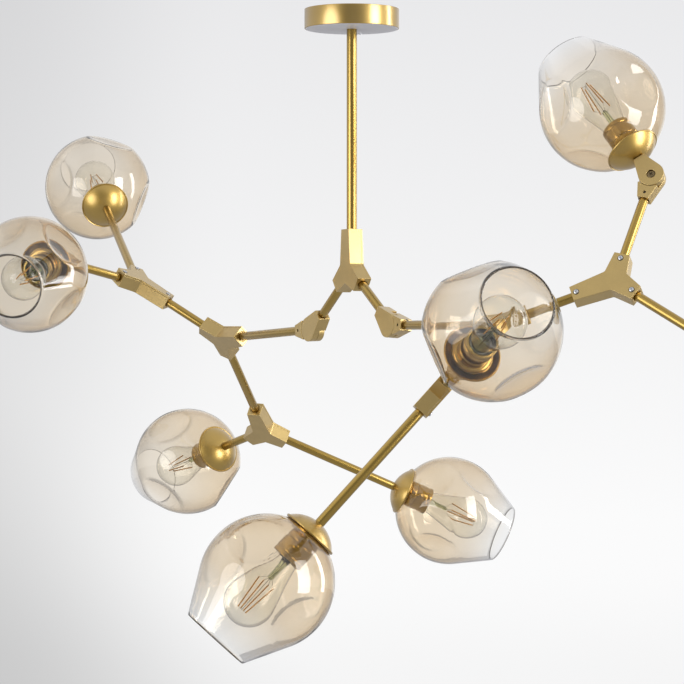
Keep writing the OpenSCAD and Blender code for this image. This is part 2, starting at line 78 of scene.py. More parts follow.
FLANGE_X, SHADE_R, GLASS_T, HOLE_R, LIP_W = 15, 76, 2, 17.5, 3.6
SHADE_TOP = math.sqrt(SHADE_R ** 2 - (HOLE_R + LIP_W) ** 2)
SHADE_C = FLANGE_X + SHADE_TOP
MOUTH_PAST, MOUTH_R, TOOL_R, DENT_DEPTH = 8, 41, 110, 12
MOUTH_REACH = SHADE_R + MOUTH_PAST
DENT_RISE = (-22, 10, -22, 10)
SHADE_TURN = (80, 70, 103, 127, 152, 20, 42, 35)
HOLDER_R, HOLDER_LEN, RING_R, RING_H = 18.5, 55, 24, 5
FIT, SEAT = 0.1, 0.15
RING_X = SHADE_C - math.sqrt((SHADE_R - GLASS_T) ** 2 - RING_R ** 2) + SEAT
BULB_R, BULB_X, CAP_R, CAP_LEN, CAP_X = 29, 116, 13.3, 26, 22


# --- Sizes of the trim that only this script makes, in millimetres -----------------

TUBE_EDGE = 0.3
# The last two size the thin disc of painted shade under each cover screw's head
RECESS_GAP, RECESS_DEPTH, SCREW_SHADE_R, SCREW_SHADE_DEPTH = 1.1, 1.6, 3.6, 0.05
COVER_SCREW_R, COVER_SCREW_H, COVER_GAP, COVER_EDGE = 2.9, 1.5, 0.04, 0.7
PLATE_SCREW_AT, PLATE_SCREW_R, PLATE_SCREW_H = (10.8, 46.8), 2.6, 1.2
KNUCKLE_RECESS_GAP, KNUCKLE_RECESS_DEPTH, PIVOT_GAP, PIVOT_BASE = 0.8, 1.2, 0.35, 0.6
SET_SCREW_X, SET_SCREW_R, SET_SCREW_SUNK, SET_SCREW_DEPTH = -25, 1.65, 1.6, 3.4
HOLDER_SCREW_X, HOLDER_SCREW_R, HOLDER_SCREW_H = 38, 3.0, 2.0
SCREWS_IN_VIEW = (4, 5)  # lamps whose holder screw faces the camera
BULB_GLASS, FILAMENT_LOW, FILAMENT_HIGH = 0.6, BULB_X - 27, BULB_X + 12
STEM = ((0, 0), (0, 10), (5, 6.2), (14, 4.2), (28, 3.2), (33, 3.4), (35.5, 2.2), (36, 0))
PAN_HEAD = ((-1.2, 0), (-1.2, 0.7), (0, 0.97), (0.35, 1), (0.7, 0.93), (0.92, 0.72), (1, 0.5))


# --- Where the pieces are: the part's own chain of frames -----------------------

def turn(axis, degrees):
    return Matrix.Rotation(math.radians(degrees), 4, axis)


def along(distance):
    return Matrix.Translation((distance * MM, 0, 0))


def up(distance):
    return Matrix.Translation((0, 0, distance * MM))


def facing(frame, side):
    """The frame itself, or turned over about X where side is negative."""
    return frame @ turn("X", 0 if side > 0 else 180)


def arm(hub, side):
    return hub @ turn("Z", side * ARM_ANGLE) @ along(ARM_SHORT)


def next_hub(start, length, roll):
    return start @ along(length + ARM_LONG) @ turn("X", roll)


def next_joint(start, length, roll):
    return start @ along(length + KNUCKLE_LEN) @ turn("X", roll)


def past(joint, bend, length):
    return joint @ turn("Z", bend) @ along(length)


def skeleton():
    """Frames of the hubs, knuckles, tubes and lamps, as the part's source chains them."""
    c, s = math.cos(math.radians(TURN_TOP)), math.sin(math.radians(TURN_TOP))
    top = Matrix(((0, c, -s, 0), (0, -s, -c, 0), (-1, 0, 0, -HUB_DROP * MM), (0, 0, 0, 1)))
    jl = next_joint(arm(top, -1), ROD_LINK, ROLL_MAIN)
    jr = next_joint(arm(top, 1), ROD_LINK, ROLL_MAIN)
    bl, br = past(jl, BEND_LEFT, KNUCKLE_LEN), past(jr, BEND_RIGHT, KNUCKLE_LEN)
    la, ra = next_hub(bl, ROD_MAIN, ROLL_LEFT[0]), next_hub(br, ROD_MAIN, ROLL_RIGHT[0])
    lb = next_hub(arm(la, -1), ROD_NEAR, ROLL_LEFT[1])
    lc = next_hub(arm(la, 1), ROD_FAR, ROLL_LEFT[2])
    rb = next_hub(arm(ra, 1), ROD_NEAR, ROLL_RIGHT[1])
    rc = next_hub(arm(ra, -1), ROD_FAR, ROLL_RIGHT[2])
    j2, j7 = next_joint(arm(lb, 1), ROD_TURN, 0), next_joint(arm(rb, 1), ROD_TURN, 0)
    j6 = next_joint(arm(rc, 1), ROD_STUB, ROLL_6)
    # each hub's frame and the side of its cover
    hubs = {"hub_top": (top, -1), "hub_left_a": (la, -1), "hub_left_b": (lb, 1),
            "hub_left_c": (lc, -1), "hub_right_a": (ra, 1), "hub_right_b": (rb, 1),
            "hub_right_c": (rc, -1)}
    # where each tube starts, its visible length and how deep its far end goes in
    rods = {"rods_top": ((arm(top, -1), ROD_LINK, ROD_IN), (arm(top, 1), ROD_LINK, ROD_IN)),
            "rods_left": ((bl, ROD_MAIN, ROD_IN), (arm(la, -1), ROD_NEAR, ROD_IN),
                          (arm(la, 1), ROD_FAR, ROD_IN), (arm(lb, 1), ROD_TURN, ROD_IN),
                          (arm(lb, -1), ROD_LONG, STEM_IN), (arm(lc, -1), ROD_SHORT, STEM_IN),
                          (arm(lc, 1), ROD_MID, STEM_IN)),
            "rods_right": ((br, ROD_MAIN, ROD_IN), (arm(ra, 1), ROD_NEAR, ROD_IN),
                           (arm(ra, -1), ROD_FAR, ROD_IN), (arm(rb, 1), ROD_TURN, ROD_IN),
                           (arm(rb, -1), ROD_LONG, STEM_IN), (arm(rc, 1), ROD_STUB, ROD_IN),
                           (arm(rc, -1), ROD_MID, STEM_IN))}
    # frame, bend, side of the fixed half, side of the screw's head, length of the swinging half
    knuckles = {"left": (jl, BEND_LEFT, 1, -1, KNUCKLE_LEN),
                "right": (jr, BEND_RIGHT, 1, -1, KNUCKLE_LEN),
                "2": (j2, BEND_2, -1, 1, LAMP_KNUCKLE_LEN),
                "6": (j6, BEND_6, -1, 1, LAMP_KNUCKLE_LEN),
                "7": (j7, BEND_7, -1, 1, LAMP_KNUCKLE_LEN)}
    lamps = (arm(lb, -1) @ along(ROD_LONG), past(j2, BEND_2, LAMP_KNUCKLE_LEN),
             arm(lc, -1) @ along(ROD_SHORT), arm(rc, -1) @ along(ROD_MID),
             arm(lc, 1) @ along(ROD_MID), past(j6, BEND_6, LAMP_KNUCKLE_LEN),
             past(j7, BEND_7, LAMP_KNUCKLE_LEN), arm(rb, -1) @ along(ROD_LONG))
    return hubs, rods, knuckles, lamps


HUBS, RODS, KNUCKLES, LAMPS = skeleton()


# --- Outlines --------------------------------------------------------------------

def polar(r, degrees):
    return Vector((r * math.cos(math.radians(degrees)), r * math.sin(math.radians(degrees))))


def touch(x, r, circle_r):
    """Angle of the point where a line from (x, r) touches a circle about the origin."""
    return math.degrees(math.atan2(r, x)
                        + (1 if x > 0 else -1) * math.acos(circle_r / math.hypot(x, r)))


def arm_tip(angle, length):
    along_it, across = polar(length, angle), polar(ARM_W / 2, angle + 90)
    return [along_it - across, along_it + across]


def inner_corner(angle, reach, r, before, after, steps=8):
    """Rounds the hollow between two arms, from the end of one side to the start of the next."""
    c = polar(reach + r, angle)

    def tangent(p, side):
        d = p - c
        t = math.degrees(math.atan2(d.y, d.x)) + side * math.degrees(math.acos(r / d.length))
        return t - 360 * round((t - angle - 180) / 360)

    start, end = tangent(before, -1), tangent(after, 1)
    return [c + polar(r, start + (end - start) * k / steps) for k in range(steps + 1)]


def hub_outline():
    back, left, right = (arm_tip(angle, length) for angle, length in ARMS)
    side = 90 + ARM_ANGLE / 2
    return (left + inner_corner(side, CORNER_R, FILLET_R, left[1], back[0]) + back
            + inner_corner(-side, CORNER_R, FILLET_R, back[1], right[0]) + right
            + inner_corner(0, NOTCH_R, NOTCH_FILLET_R, right[1], left[0], 4))


# --- Mesh making -------------------------------------------------------------------

def piece(name, bm, material, body, angle=35, bevel=0.0):
    """Makes an object that rides its body; edges sharper than angle stay sharp or are broken."""
    mesh = bpy.data.meshes.new(name)
    bmesh.ops.recalc_face_normals(bm, faces=bm.faces)
    bm.to_mesh(mesh)
    bm.free()
    for poly in mesh.polygons:
        poly.use_smooth = True
    if not bevel:
        mesh.set_sharp_from_angle(angle=math.radians(angle))
    obj = bpy.data.objects.new(name, mesh)
    bpy.context.scene.collection.objects.link(obj)
    mesh.materials.append(material)
    if bevel:
        mod = obj.modifiers.new("edges", "BEVEL")
        mod.width = bevel * MM
        mod.segments = 2
        mod.limit_method = "ANGLE"
        mod.angle_limit = math.radians(angle)
        mod.harden_normals = True
    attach(obj, body)
    return obj


def ring(bm, frame, x, r, steps):
    """Points of a circle about X in millimetres, or its middle where it has no radius."""
    return [bm.verts.new(frame @ Vector((x * MM, r * MM * math.cos(t), r * MM * math.sin(t))))
            for t in (2 * math.pi * k / steps for k in range(1 if r < 1e-6 else steps))]


def ring_faces(bm, rings, closed=False):
    """Joins neighbouring rings by faces; a ring of one point closes an end."""
    for a, b in list(zip(rings, rings[1:])) + ([(rings[-1], rings[0])] if closed else []):
        n = max(len(a), len(b))
        for k in range(n):
            m = (k + 1) % n
            if len(a) == 1 and len(b) > 1:
                bm.faces.new((a[0], b[m], b[k]))
            elif len(b) == 1 and len(a) > 1:
                bm.faces.new((a[k], a[m], b[0]))
            elif len(a) > 1:
                bm.faces.new((a[k], a[m], b[m], b[k]))


def lathe(bm, frame, profile, steps, closed=True):
    """Turns (x, r) points in millimetres about X; a closed profile makes a ring."""
    ring_faces(bm, [ring(bm, frame, x, r, steps) for x, r in profile], closed)


def rounded(points, radius, steps=3):
    """Rounds every corner of a closed (x, r) outline that lies off the axis."""
    out = []
    for i, p in enumerate(points):
        p, a, b = Vector(p), Vector(points[i - 1]), Vector(points[(i + 1) % len(points)])
        if p.y < 1e-6:
            out.append(tuple(p))
            continue
        reach = min(radius, (a - p).length * 0.45, (b - p).length * 0.45)
        pa, pb = p + (a - p).normalized() * reach, p + (b - p).normalized() * reach
        for k in range(steps + 1):
            t = k / steps
            out.append(tuple(pa.lerp(p, t).lerp(p.lerp(pb, t), t)))
    return out


def tube(bm, frame, start, end, diameter, steps):
    """An open tube along X between two places in millimetres."""
    r = diameter / 2
    lathe(bm, frame, rounded(((start, r - TUBE_WALL), (start, r), (end, r),
                              (end, r - TUBE_WALL)), TUBE_EDGE), steps)


def prism(bm, frame, outline, low, high):
    """A flat plate with this outline, between two heights in millimetres."""
    floor, roof = ([bm.verts.new(frame @ Vector((p[0] * MM, p[1] * MM, z * MM)))
                    for p in outline] for z in (low, high))
    bm.faces.new(floor[::-1])
    bm.faces.new(roof)
    ring_faces(bm, [floor, roof])


def cut(bm, cutter):
    """Takes one mesh out of another and gives what is left."""
    objs = []
    for source in (bm, cutter):
        bmesh.ops.recalc_face_normals(source, faces=source.faces)
        mesh = bpy.data.meshes.new("cut")
        source.to_mesh(mesh)
        source.free()
        obj = bpy.data.objects.new("cut", mesh)
        bpy.context.scene.collection.objects.link(obj)
        objs.append(obj)
    mod = objs[0].modifiers.new("cut", "BOOLEAN")
    mod.operation, mod.solver, mod.object = "DIFFERENCE", "EXACT", objs[1]
    done = objs[0].evaluated_get(bpy.context.evaluated_depsgraph_get())
    out = bmesh.new()
    out.from_mesh(done.to_mesh())
    if len(out.faces) < 6:
        raise RuntimeError("a cut left nothing")
    for obj in objs:
        mesh = obj.data
        bpy.data.objects.remove(obj)
        bpy.data.meshes.remove(mesh)
    bmesh.ops.dissolve_limit(out, angle_limit=math.radians(0.5), verts=out.verts,
                             edges=out.edges)
    return out


def disc(bm, frame, radius, low, high, steps=40):
    """A plain cylinder along X."""
    lathe(bm, frame, ((low, 0), (low, radius), (high, radius), (high, 0)), steps, closed=False)


def stick(bm, frame, a, b, radius, steps=10):
    """A thin round stick between two points in millimetres, with domed ends."""
    axis = (b - a).normalized()
    side = axis.orthogonal().normalized()
    other = axis.cross(side)
    rings = []
    for base, x, r in ((a, -0.4, 0), (a, -0.25, 0.7), (a, 0, 1), (b, 0, 1), (b, 0.25, 0.7),
                       (b, 0.4, 0)):
        centre = base + axis * x * radius * 2
        rings.append([bm.verts.new(frame @ ((centre + (side * math.cos(t) + other * math.sin(t))
                                             * radius * r) * MM))
                      for t in (2 * math.pi * k / steps for k in range(steps if r else 1))])
    ring_faces(bm, rings)


def cross_head(bm, seat, radius, height, depth=0.9):
    """A pan head with a cross recess; X of seat points out of the surface."""
    steps = 32

    def cross(x, slot, web):
        points = []
        for t in (2 * math.pi * k / steps for k in range(steps)):
            r = radius * (slot if min(abs(math.sin(t)), abs(math.cos(t))) < 0.25 else web)
            points.append(bm.verts.new(seat @ Vector(
                (x * MM, r * MM * math.cos(t), r * MM * math.sin(t)))))
        return points

    rings = [ring(bm, seat, x if x < 0 else x * height, radius * r, steps) for x, r in PAN_HEAD]
    deep = height * (1 - depth)
    rings += [cross(height, 0.48, 0.18), cross(deep, 0.46, 0.16), ring(bm, seat, deep, 0, 1)]
    ring_faces(bm, rings)


# --- Finishes ------------------------------------------------------------------

MIX_A, MIX_B, MIX_OUT = 6, 7, 2  # the colour sockets of a Mix node
MAIN_GRAIN, CLOUD = 1500.0, 45.0  # noise scales
LACQUER_SHARE = 0.65  # the lacquer's roughness, as a share of the metal's
TONE_START, TONE_LENGTH = FLANGE_X, 157  # where the tint fades along a shade, in millimetres


def material(name):
    return bpy.data.materials.get(name) or bpy.data.materials.new(name)


class Wiring:
    """Starts a material or world anew, its shader wired to its output, and adds nodes."""

    def __init__(self, owner, shader="ShaderNodeBsdfPrincipled",
                 output="ShaderNodeOutputMaterial", **values):
        owner.use_nodes = True
        self.tree = owner.node_tree
        self.tree.nodes.clear()
        self.shader = self.add(shader, **values)
        self.link(self.shader.outputs[0], self.add(output).inputs["Surface"])

    def add(self, kind, **values):
        node = self.tree.nodes.new(kind)
        for key, value in values.items():
            if hasattr(node, key):
                setattr(node, key, value)
            else:
                node.inputs[key.replace("_", " ")].default_value = value
        return node

    def link(self, a, b):
        self.tree.links.new(a, b)

    def calc(self, operation, a, b):
        node = self.add("ShaderNodeMath", operation=operation)
        for value, socket in zip((a, b), node.inputs):
            if isinstance(value, float):
                socket.default_value = value
            else:
                self.link(value, socket)
        return node.outputs[0]

    def ramp(self, source, stops):
        node = self.add("ShaderNodeValToRGB")
        elements = node.color_ramp.elements
        elements[0].position, elements[0].color = stops[0][0], (*stops[0][1], 1)
        elements[1].position, elements[1].color = stops[-1][0], (*stops[-1][1], 1)
        for pos, colour in stops[1:-1]:
            elements.new(pos).color = (*colour, 1)
        self.link(source, node.inputs["Fac"])
        return node.outputs["Color"]

    def mottle(self, source, colour, low, high, start=0.3, end=0.7):
        """Lets the base colour vary between two of its own shades."""
        stops = ((start, shade_of(colour, low)), (end, shade_of(colour, high)))
        self.link(self.ramp(source, stops), self.shader.inputs["Base Color"])

    def noise(self, scale, detail=2.0):
        node = self.add("ShaderNodeTexNoise", Scale=scale, Detail=detail)
        self.link(self.add("ShaderNodeTexCoord").outputs["Object"], node.inputs["Vector"])
        return node.outputs["Fac"]

    def span(self, source, low, high):
        node = self.add("ShaderNodeMapRange", From_Min=0.3, From_Max=0.7, To_Min=low, To_Max=high)
        self.link(source, node.inputs["Value"])
        return node.outputs["Result"]

    def roughen(self, source, low, high):
        self.link(self.span(source, low, high), self.shader.inputs["Roughness"])

    def bump(self, source, height, strength):
        node = self.add("ShaderNodeBump", Strength=strength, Distance=height)
        self.link(source, node.inputs["Height"])
        self.link(node.outputs["Normal"], self.shader.inputs["Normal"])


def shade_of(colour, factor):
    return tuple(min(1.0, c * factor) for c in colour[:3])


def brass(name, colour, rough, grain, speckle, relief, lacquer=1.0, gloss=1.6):
    """Lacquered brass with a fine grain; speckle is how much its colour varies."""
    mat = material(name)
    w = Wiring(mat, Metallic=1.0, Coat_Weight=lacquer, Coat_Roughness=rough * LACQUER_SHARE,
               Coat_IOR=gloss)
    cloud, fine = w.noise(CLOUD, 3.0), w.noise(grain, 3.0)
    w.mottle(w.calc("MULTIPLY", w.calc("ADD", cloud, fine), 0.5), colour, 1 - speckle,
             1 + speckle, 0.35, 0.65)
    w.roughen(fine, rough * (1 - speckle), rough * (1 + speckle))
    if relief:
        w.bump(fine, relief, 0.5)
    return mat


def plain_metal(name, colour, rough):
    mat = material(name)
    w = Wiring(mat, Metallic=1.0)
    grain = w.noise(900.0)
    w.mottle(grain, colour, 0.9, 1.06)
    w.roughen(grain, rough * 0.85, rough * 1.2)
    return mat


def paint(name, colour, rough):
    mat = material(name)
    w = Wiring(mat)
    grain = w.noise(1400.0)
    w.mottle(grain, colour, 0.97, 1.02)
    w.roughen(grain, rough * 0.9, rough * 1.1)
    w.bump(grain, 0.00003, 0.2)
    return mat


def tinted_glass(name, deep, pale, on_edge):
    """Blown glass, tan by the gallery and where it is seen on edge, nearly clear at the mouth."""
    mat = material(name)
    w = Wiring(mat, Transmission_Weight=1.0, Roughness=0.0, IOR=1.5)
    tone = w.add("ShaderNodeAttribute", attribute_name="tone").outputs["Fac"]
    facing_away = w.add("ShaderNodeLayerWeight", Blend=0.5).outputs["Facing"]
    mix = w.add("ShaderNodeMix", data_type="RGBA")
    w.link(w.span(facing_away, 0.0, 1.0), mix.inputs[0])
    for slot, near in ((MIX_A, deep), (MIX_B, on_edge)):
        middle = tuple(0.78 * a + 0.22 * b for a, b in zip(near, pale))
        w.link(w.ramp(tone, ((0.05, near), (0.6, middle), (0.97, pale))), mix.inputs[slot])
    w.link(mix.outputs[MIX_OUT], w.shader.inputs["Base Color"])
    w.bump(w.noise(24.0, 1.0), 0.003, 0.1)
    return mat


def mouth_rim_shade(name, colour):
    """Glass for the edge of a mouth; the edge is real, its dark brown colour is painted shade for
    glass seen end on.
    """
    mat = material(name)
    w = Wiring(mat, Transmission_Weight=0.9, Roughness=0.1)
    w.mottle(w.noise(800.0), colour, 0.8, 1.15)
    return mat


def clear_glass(name, colour, bend):
    mat = material(name)
    w = Wiring(mat, Transmission_Weight=1.0, Roughness=0.0, IOR=bend)
    w.mottle(w.noise(40.0), colour, 0.98, 1.0)
    return mat


def filament_paint(name, colour):
    mat = material(name)
    w = Wiring(mat, Roughness=0.45)
    w.mottle(w.noise(2600.0), colour, 0.75, 1.1, 0.35, 0.65)
    return mat


# --- Settings -------------------------------------------------------------------

def colour_prop(name, default, description):
    return bpy.props.FloatVectorProperty(
        name=name, description=description, subtype="COLOR", size=3,
        min=0.0, max=1.0, default=default)


def length_prop(name, millimetres, description, top):
    return bpy.props.FloatProperty(
        name=name, description=description, default=millimetres * MM,
        min=0.0, max=top, precision=5, subtype="DISTANCE", unit="LENGTH")


def rough_prop(name, default, pieces):
    return bpy.props.FloatProperty(
        name=name + " roughness", description="Roughness of the " + pieces, default=default,
        min=0.02, max=1.0, subtype="FACTOR")


def power_prop(name, watts, description):
    return bpy.props.FloatProperty(
        name=name, description=description, default=watts, min=0.0, unit="POWER")


class ChandelierMetal(bpy.types.PropertyGroup):
    cast: colour_prop("Cast brass", (0.53, 0.38, 0.14), "Colour of the hubs and knuckles")
    cast_rough: rough_prop("Cast", 0.4, "hubs and knuckles")
    drawn: colour_prop("Drawn brass", (0.42, 0.27, 0.052), "Colour of the canopy and galleries")
    drawn_rough: rough_prop("Canopy", 0.32, "canopy")
    tube: colour_prop("Tube brass", (0.39, 0.25, 0.039), "Colour of the tubes")
    tube_rough: rough_prop("Tube", 0.27, "tubes")
    spun_rough: rough_prop("Gallery", 0.36, "galleries")
    holder_rough: rough_prop("Holder", 0.17, "lampholders")
    plate: colour_prop("Canopy plate", (0.62, 0.62, 0.66), "Colour of the plate under the canopy")
    screw: colour_prop("Screws", (0.62, 0.63, 0.66), "Colour of the cover screws")
    # Near-black painted shade for holes, the socket round the bulb cap and the gaps round screw
    # heads
    painted_shade: colour_prop("Dark gaps", (0.02, 0.017, 0.012), "Colour inside holes and sockets")
    edge: length_prop("Broken edge", 0.5, "Width of the broken edges of hubs and knuckles", 0.003)


class ChandelierGlass(bpy.types.PropertyGroup):
    deep: colour_prop("Tint at the gallery", (0.89, 0.80, 0.665), "Tint beside the gallery")
    on_edge: colour_prop("Tint on edge", (0.80, 0.64, 0.43), "Tint where glass is seen on edge")
    pale: colour_prop("Tint at the mouth", (0.95, 0.95, 0.945), "Tint at the open mouth")
    # The mouth edge's dark brown is painted shade, standing for the dark look of glass seen end
    # on
    rim: colour_prop("Mouth edge", (0.40, 0.32, 0.24), "Colour of the ground edge of the mouth")
    soften: length_prop("Dent edge", 1.6, "How softly a dent runs out into the shade", 0.02)
    bulb: colour_prop("Bulb glass", (0.97, 0.97, 0.95), "Colour of the bulbs' glass")
    filament: colour_prop("Filament", (0.9, 0.45, 0.1), "Colour of the unlit filaments")


class ChandelierStage(bpy.types.PropertyGroup):
    floor: colour_prop("Floor", (0.57, 0.57, 0.58), "Colour of the floor")
    above: colour_prop("Backdrop above", (0.82, 0.82, 0.832), "Backdrop colour at the top")
    below: colour_prop("Backdrop below", (0.965, 0.965, 0.967), "Backdrop colour at the bottom")
    right: power_prop("Right window", 20.0, "Power of the soft light on the camera's right")
    strip: power_prop("Right strip", 7.5, "Power of the narrow light beside the lamps")
    left: power_prop("Left umbrella", 12.5, "Power of the soft light on the camera's left")


# --- Pieces -----------------------------------------------------------------------

def finishes(scene):
    """The finishes that several kinds of pieces share."""
    s = scene.chandelier_metal
    return SimpleNamespace(
        cast=brass("cast_brass", s.cast, s.cast_rough, MAIN_GRAIN, 0.07, 0.00002, 0.6),
        drawn=brass("drawn_brass", s.drawn, s.drawn_rough, MAIN_GRAIN, 0.03, 0.0, gloss=1.8),
        tube=brass("tube_brass", s.tube, s.tube_rough, MAIN_GRAIN, 0.03, 0.0, 0.7),
        # the last finish is near-black paint that stands for the shade inside holes and gaps
        steel=plain_metal("screw_steel", s.screw, 0.22), painted_shade=paint("painted_gap_shade", s.painted_shade, 0.55))


class CHANDELIER_OT_canopy(bpy.types.Operator):
    """Make the canopy with its plate, the ceiling bracket and the drop rod"""
    bl_idname = "chandelier.canopy"
    bl_label = "Canopy and drop rod"

    def execute(self, context):
        s, look = context.scene.chandelier_metal, finishes(context.scene)
        down = turn("Y", 90)
        h, r, inner = CANOPY_H, CANOPY_R, CANOPY_R - CANOPY_WALL
        ledge, low = h - PLATE_T + PLATE_PROUD, h + PLATE_PROUD
        hole, rim = DROP_D / 2 + FIT, inner - SEAT
        bm = bmesh.new()
        lathe(bm, down, rounded(((0, r), (h, r), (h, inner), (ledge, inner),
                                 (ledge, inner - LEDGE_W), (ledge - CANOPY_WALL, inner - LEDGE_W),
                                 (ledge - CANOPY_WALL, inner), (0, inner)), 0.7), 160)
        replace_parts(piece("canopy_cup", bm, look.drawn, "root"), "canopy")
        pale = paint("plate_paint", s.plate, 0.42)
        bm = bmesh.new()
        lathe(bm, down, rounded(((low, hole), (low, rim), (ledge, rim), (ledge, hole)), 0.5), 128)
        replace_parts(piece("canopy_cover", bm, pale, "root"), "canopy_plate")
        bm = bmesh.new()
        x, y = PLATE_SCREW_AT
        cross_head(bm, Matrix.Translation((x * MM, y * MM, -low * MM)) @ down, PLATE_SCREW_R,
                   PLATE_SCREW_H)
        piece("plate_screw", bm, look.steel, "root")
        bm = bmesh.new()
        bm.from_mesh(NODES["ceiling_bracket"].data)
        zinc = plain_metal("bracket_zinc", (0.5, 0.5, 0.52), 0.4)
        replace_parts(piece("bracket_sheet", bm, zinc, "root"),
                    "ceiling_bracket")
        bm = bmesh.new()
        tube(bm, down, ROD_TOP, HUB_DROP - ARM_LONG + ROD_IN, DROP_D, 96)
        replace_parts(piece("drop_tube", bm, look.tube, "root"), "drop_rod")
        return {"FINISHED"}


# the node that holds a hub's cover, by the first letters of the hub's name
COVER_OF = {"hub_t": "cover_top", "hub_l": "covers_left", "hub_r": "covers_right"}


class CHANDELIER_OT_hubs(bpy.types.Operator):
    """Make the branching hubs with their covers and cover screws"""
    bl_idname = "chandelier.hubs"
    bl_label = "Hubs and covers"

    def execute(self, context):
        s, look = context.scene.chandelier_metal, finishes(context.scene)
        outline, covers, split = hub_outline(), {}, HUB_T / 2 - COVER_T
        for hub, (frame, side) in HUBS.items():
            flat = facing(frame, side)
            bm, cutter = bmesh.new(), bmesh.new()
            prism(bm, flat, outline, -HUB_T / 2, split)
            for angle, reach in ARMS:
                entry = (DROP_D if hub == "hub_top" and angle == 180 else ROD_D) / 2
                disc(cutter, flat @ turn("Z", angle), entry + RECESS_GAP, reach - RECESS_DEPTH,
                     reach + 1)
            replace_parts(piece("branch_" + hub, cut(bm, cutter), look.cast, BODY_OF[hub], 20,
                              s.edge / MM), hub)
            bm = covers.setdefault(COVER_OF[hub[:5]], bmesh.new())
            prism(bm, flat, outline, split + COVER_GAP, HUB_T / 2)
            bm, shade_discs = bmesh.new(), bmesh.new()
            for angle, reach in ARMS:
                seat = flat @ turn("Z", angle) @ along(reach - COVER_HOLE_IN) @ up(HUB_T / 2) \
                    @ turn("Y", -90)
                cross_head(bm, seat @ turn("X", 17 * angle + 31), COVER_SCREW_R, COVER_SCREW_H)
                # a thin near-black disc under the head, wider than it: painted shade of the gap
                # round the screw
                disc(shade_discs, seat, SCREW_SHADE_R, -0.1, SCREW_SHADE_DEPTH)
            piece("cover_screws_" + hub, bm, look.steel, BODY_OF[hub])
            piece("screw_shade_rings_" + hub, shade_discs, look.painted_shade, BODY_OF[hub])
        for name, bm in covers.items():
            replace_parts(piece("plate_" + name, bm, look.cast, BODY_OF[name], 20,
                              s.edge / MM * COVER_EDGE), name)
        return {"FINISHED"}


class CHANDELIER_OT_tubes(bpy.types.Operator):
    """Make the branch tubes"""
    bl_idname = "chandelier.tubes"
    bl_label = "Branch tubes"

    def execute(self, context):
        look = finishes(context.scene)
        for node, rods in RODS.items():
            bm = bmesh.new()
            for frame, length, into in rods:
                tube(bm, frame, -ROD_IN, length + into, ROD_D, 64)
            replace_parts(piece("tubes_" + node, bm, look.tube, BODY_OF[node]),
                        node)
        return {"FINISHED"}


def knuckle_half(frame, length, side, headed):
    """One half of a half-lap knuckle: its shank runs towards -X, its eye lies on one side."""
    half = KNUCKLE_T / 2
    flat = facing(frame, side)
    tip_angle = touch(-length, KNUCKLE_W / 2, EYE_R)
    tip, end = polar(EYE_R, tip_angle), Vector((-length, KNUCKLE_W / 2))
    share = (length - STEP_X) / (length + tip.x)
    step = end + (tip - end) * share
    reach = EYE_R + TURN_GAP
    lean = math.degrees(math.acos(STEP_X / reach))
    shoulder = [polar(reach, 180 - lean + 2 * lean * k / 12) for k in range(13)]
    eye = [polar(EYE_R, tip_angle * (1 - k / 24)) for k in range(49)]
    flip = Vector((1, -1))
    full = [end, step] + shoulder + [step * flip, end * flip]
    lap = [end, step] + eye + [step * flip, end * flip]
    bm = bmesh.new()

    def level(points, z):
        return [bm.verts.new(flat @ Vector((p.x * MM, p.y * MM, z * MM))) for p in points]

    roof, floor = level(lap, half), level(full, -half)
    mid_lap, mid_full = level(lap[1:-1], LAP_GAP / 2), level(full[2:-2], LAP_GAP / 2)
    bm.faces.new(roof)
    bm.faces.new(floor[::-1])
    for k in range(1, len(lap) - 2):
        bm.faces.new((roof[k + 1], roof[k], mid_lap[k - 1], mid_lap[k]))
    bm.faces.new((floor[0], floor[1], mid_lap[0], roof[1], roof[0]))
    bm.faces.new((roof[-1], roof[-2], mid_lap[-1], floor[-2], floor[-1]))
    bm.faces.new((floor[-1], floor[0], roof[0], roof[-1]))
    inner = [mid_lap[0]] + mid_full + [mid_lap[-1]]
    for k in range(len(inner) - 1):
        bm.faces.new((floor[k + 1], floor[k + 2], inner[k + 1], inner[k]))
    bm.faces.new(mid_lap + mid_full[::-1])
    cutter = bmesh.new()
    disc(cutter, frame, ROD_D / 2 + KNUCKLE_RECESS_GAP, -length - 1,
         -length + KNUCKLE_RECESS_DEPTH)
    out = flat @ turn("Y", -90)
    if headed:
        disc(cutter, out, PIVOT_HEAD_R + PIVOT_GAP, half - PIVOT_HEAD_H, half + 1)
    if side < 0 and length == KNUCKLE_LEN:
        disc(cutter, set_screw_seat(frame), SET_SCREW_R + 0.05, half - 3, half + 1, 24)
    return cut(bm, cutter), out


def set_screw_seat(frame):
    """A frame on a knuckle's shank, its X along the hinge's axis."""
    return frame @ along(SET_SCREW_X) @ turn("Y", -90)


